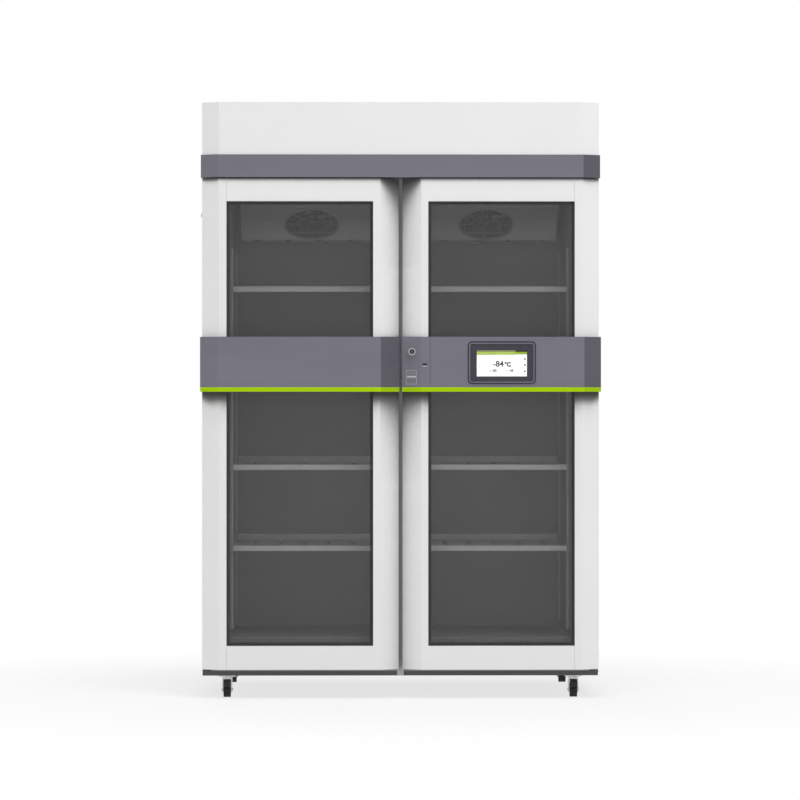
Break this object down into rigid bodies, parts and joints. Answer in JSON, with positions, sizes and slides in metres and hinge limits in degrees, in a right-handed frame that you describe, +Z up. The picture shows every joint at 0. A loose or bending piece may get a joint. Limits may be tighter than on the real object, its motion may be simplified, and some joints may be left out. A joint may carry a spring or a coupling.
{
  "type": "pharmacy refrigerator",
  "caption": "Upright white refrigerator with glass doors in faceted frames, a grey handle band across them with a touch display, tray shelves inside and swivel casters.",
  "frame": {"origin": "middle of the footprint, on the floor under the casters", "axes": "+Z up, the doors face -Y, and +X is to the right seen from the front"},
  "size_m": [1.332, 0.86, 1.98],
  "materials": {
    "white_paint": "powder coat",
    "grey_paint": "satin",
    "green_paint": "satin",
    "dark_paint": "matte",
    "galvanised": "satin",
    "stainless": "brushed",
    "trim_grey": "satin",
    "foam": "foam",
    "fins": "mill",
    "copper": "drawn tube",
    "black_plastic": "moulded",
    "screen": "gloss",
    "seal": "matte",
    "glass": "clear",
    "chrome": "polished",
    "wheel_rubber": "matte"
  },
  "bodies": {
    "cabinet": {"outer_shell": "white_paint", "back_panel": "white_paint", "rear_grille": "white_paint", "base_frame": "dark_paint", "inner_liner": "stainless", "foam_insulation": "foam", "centre_mullion": "trim_grey", "header_fascia": "white_paint", "header_band": "grey_paint", "hinge_brackets": "galvanised", "test_port_plug": "seal", "shelf_row_1": "stainless", "shelf_row_2": "stainless", "shelf_row_3": "stainless", "shelf_row_4": "stainless", "shelf_supports": "stainless", "evaporator_cover": "white_paint", "evaporator_coil": "fins", "evaporator_fan_mounts": "stainless", "machine_deck": "galvanised", "compressor": "dark_paint", "condenser": "fins", "condenser_fan_shroud": "galvanised", "refrigerant_pipes": "copper", "control_box": "galvanised", "power_inlet": "black_plastic", "caster_plates": "galvanised"},
    "left_door": {"left_door_frame": "white_paint", "left_hinge_stile": "white_paint", "left_door_glass": "glass", "left_glass_spacer": "fins", "left_door_gasket": "seal", "left_handle_band": "grey_paint", "left_grip_stripe": "green_paint"},
    "right_door": {"right_door_frame": "white_paint", "right_hinge_stile": "white_paint", "right_door_glass": "glass", "right_glass_spacer": "fins", "right_door_gasket": "seal", "right_handle_band": "grey_paint", "right_grip_stripe": "green_paint", "display_bezel": "black_plastic", "display_screen": "screen", "data_port": "black_plastic", "lock_escutcheon": "chrome"},
    "lock": {"lock_cylinder": "chrome"},
    "left_evaporator_fan": {"left_evaporator_fan": "black_plastic"},
    "right_evaporator_fan": {"right_evaporator_fan": "black_plastic"},
    "condenser_fan": {"condenser_fan": "black_plastic"},
    "rocker_switch": {"rocker_switch": "black_plastic"},
    "front_left_caster": {"front_left_fork": "galvanised"},
    "front_left_wheel": {"front_left_wheel": "wheel_rubber"},
    "front_left_brake": {"front_left_brake_pedal": "black_plastic"},
    "front_right_caster": {"front_right_fork": "galvanised"},
    "front_right_wheel": {"front_right_wheel": "wheel_rubber"},
    "front_right_brake": {"front_right_brake_pedal": "black_plastic"},
    "rear_left_caster": {"rear_left_fork": "galvanised"},
    "rear_left_wheel": {"rear_left_wheel": "wheel_rubber"},
    "rear_right_caster": {"rear_right_fork": "galvanised"},
    "rear_right_wheel": {"rear_right_wheel": "wheel_rubber"}
  },
  "joints": [
    {"name": "left_door_hinge", "type": "hinge", "parent": "cabinet", "child": "left_door", "pos_m": [-0.645, -0.361, 0.91175], "axis": [0, 0, -1], "range_deg": [0, 105]},
    {"name": "right_door_hinge", "type": "hinge", "parent": "cabinet", "child": "right_door", "pos_m": [0.645, -0.361, 0.91175], "axis": [0, 0, 1], "range_deg": [0, 105]},
    {"name": "lock_turn", "type": "hinge", "parent": "right_door", "child": "lock", "pos_m": [0.0375, -0.38, 1.152], "axis": [0, 1, 0], "range_deg": [0, 90]},
    {"name": "rocker_tilt", "type": "hinge", "parent": "cabinet", "child": "rocker_switch", "pos_m": [-0.5762, 0.423, 1.85425], "axis": [1, 0, 0], "range_deg": [0, 14]},
    {"name": "left_evaporator_fan_spin", "type": "hinge", "parent": "cabinet", "child": "left_evaporator_fan", "pos_m": [-0.298, -0.00162, 1.60829], "axis": [0, 0.493, 0.87], "continuous": true},
    {"name": "right_evaporator_fan_spin", "type": "hinge", "parent": "cabinet", "child": "right_evaporator_fan", "pos_m": [0.298, -0.00162, 1.60829], "axis": [0, 0.493, 0.87], "continuous": true},
    {"name": "condenser_fan_spin", "type": "hinge", "parent": "cabinet", "child": "condenser_fan", "pos_m": [-0.269, 0.131, 1.8205], "axis": [0, 1, 0], "continuous": true},
    {"name": "front_left_swivel", "type": "hinge", "parent": "cabinet", "child": "front_left_caster", "pos_m": [-0.578, -0.3, 0.06], "axis": [0, 0, 1], "continuous": true},
    {"name": "front_left_wheel_spin", "type": "hinge", "parent": "front_left_caster", "child": "front_left_wheel", "pos_m": [-0.578, -0.32, 0.025], "axis": [1, 0, 0], "continuous": true},
    {"name": "front_left_brake", "type": "hinge", "parent": "front_left_caster", "child": "front_left_brake", "pos_m": [-0.578, -0.32, 0.05535], "axis": [1, 0, 0], "range_deg": [0, 12], "stiffness_Nm_per_rad": 0.1, "springref_deg": -2.86},
    {"name": "front_right_swivel", "type": "hinge", "parent": "cabinet", "child": "front_right_caster", "pos_m": [0.578, -0.3, 0.06], "axis": [0, 0, 1], "continuous": true},
    {"name": "front_right_wheel_spin", "type": "hinge", "parent": "front_right_caster", "child": "front_right_wheel", "pos_m": [0.578, -0.32, 0.025], "axis": [1, 0, 0], "continuous": true},
    {"name": "front_right_brake", "type": "hinge", "parent": "front_right_caster", "child": "front_right_brake", "pos_m": [0.578, -0.32, 0.05535], "axis": [1, 0, 0], "range_deg": [0, 12], "stiffness_Nm_per_rad": 0.1, "springref_deg": -2.86},
    {"name": "rear_left_swivel", "type": "hinge", "parent": "cabinet", "child": "rear_left_caster", "pos_m": [-0.578, 0.35, 0.06], "axis": [0, 0, 1], "continuous": true},
    {"name": "rear_left_wheel_spin", "type": "hinge", "parent": "rear_left_caster", "child": "rear_left_wheel", "pos_m": [-0.578, 0.37, 0.025], "axis": [1, 0, 0], "continuous": true},
    {"name": "rear_right_swivel", "type": "hinge", "parent": "cabinet", "child": "rear_right_caster", "pos_m": [0.578, 0.35, 0.06], "axis": [0, 0, 1], "continuous": true},
    {"name": "rear_right_wheel_spin", "type": "hinge", "parent": "rear_right_caster", "child": "rear_right_wheel", "pos_m": [0.578, 0.37, 0.025], "axis": [1, 0, 0], "continuous": true}
  ]
}
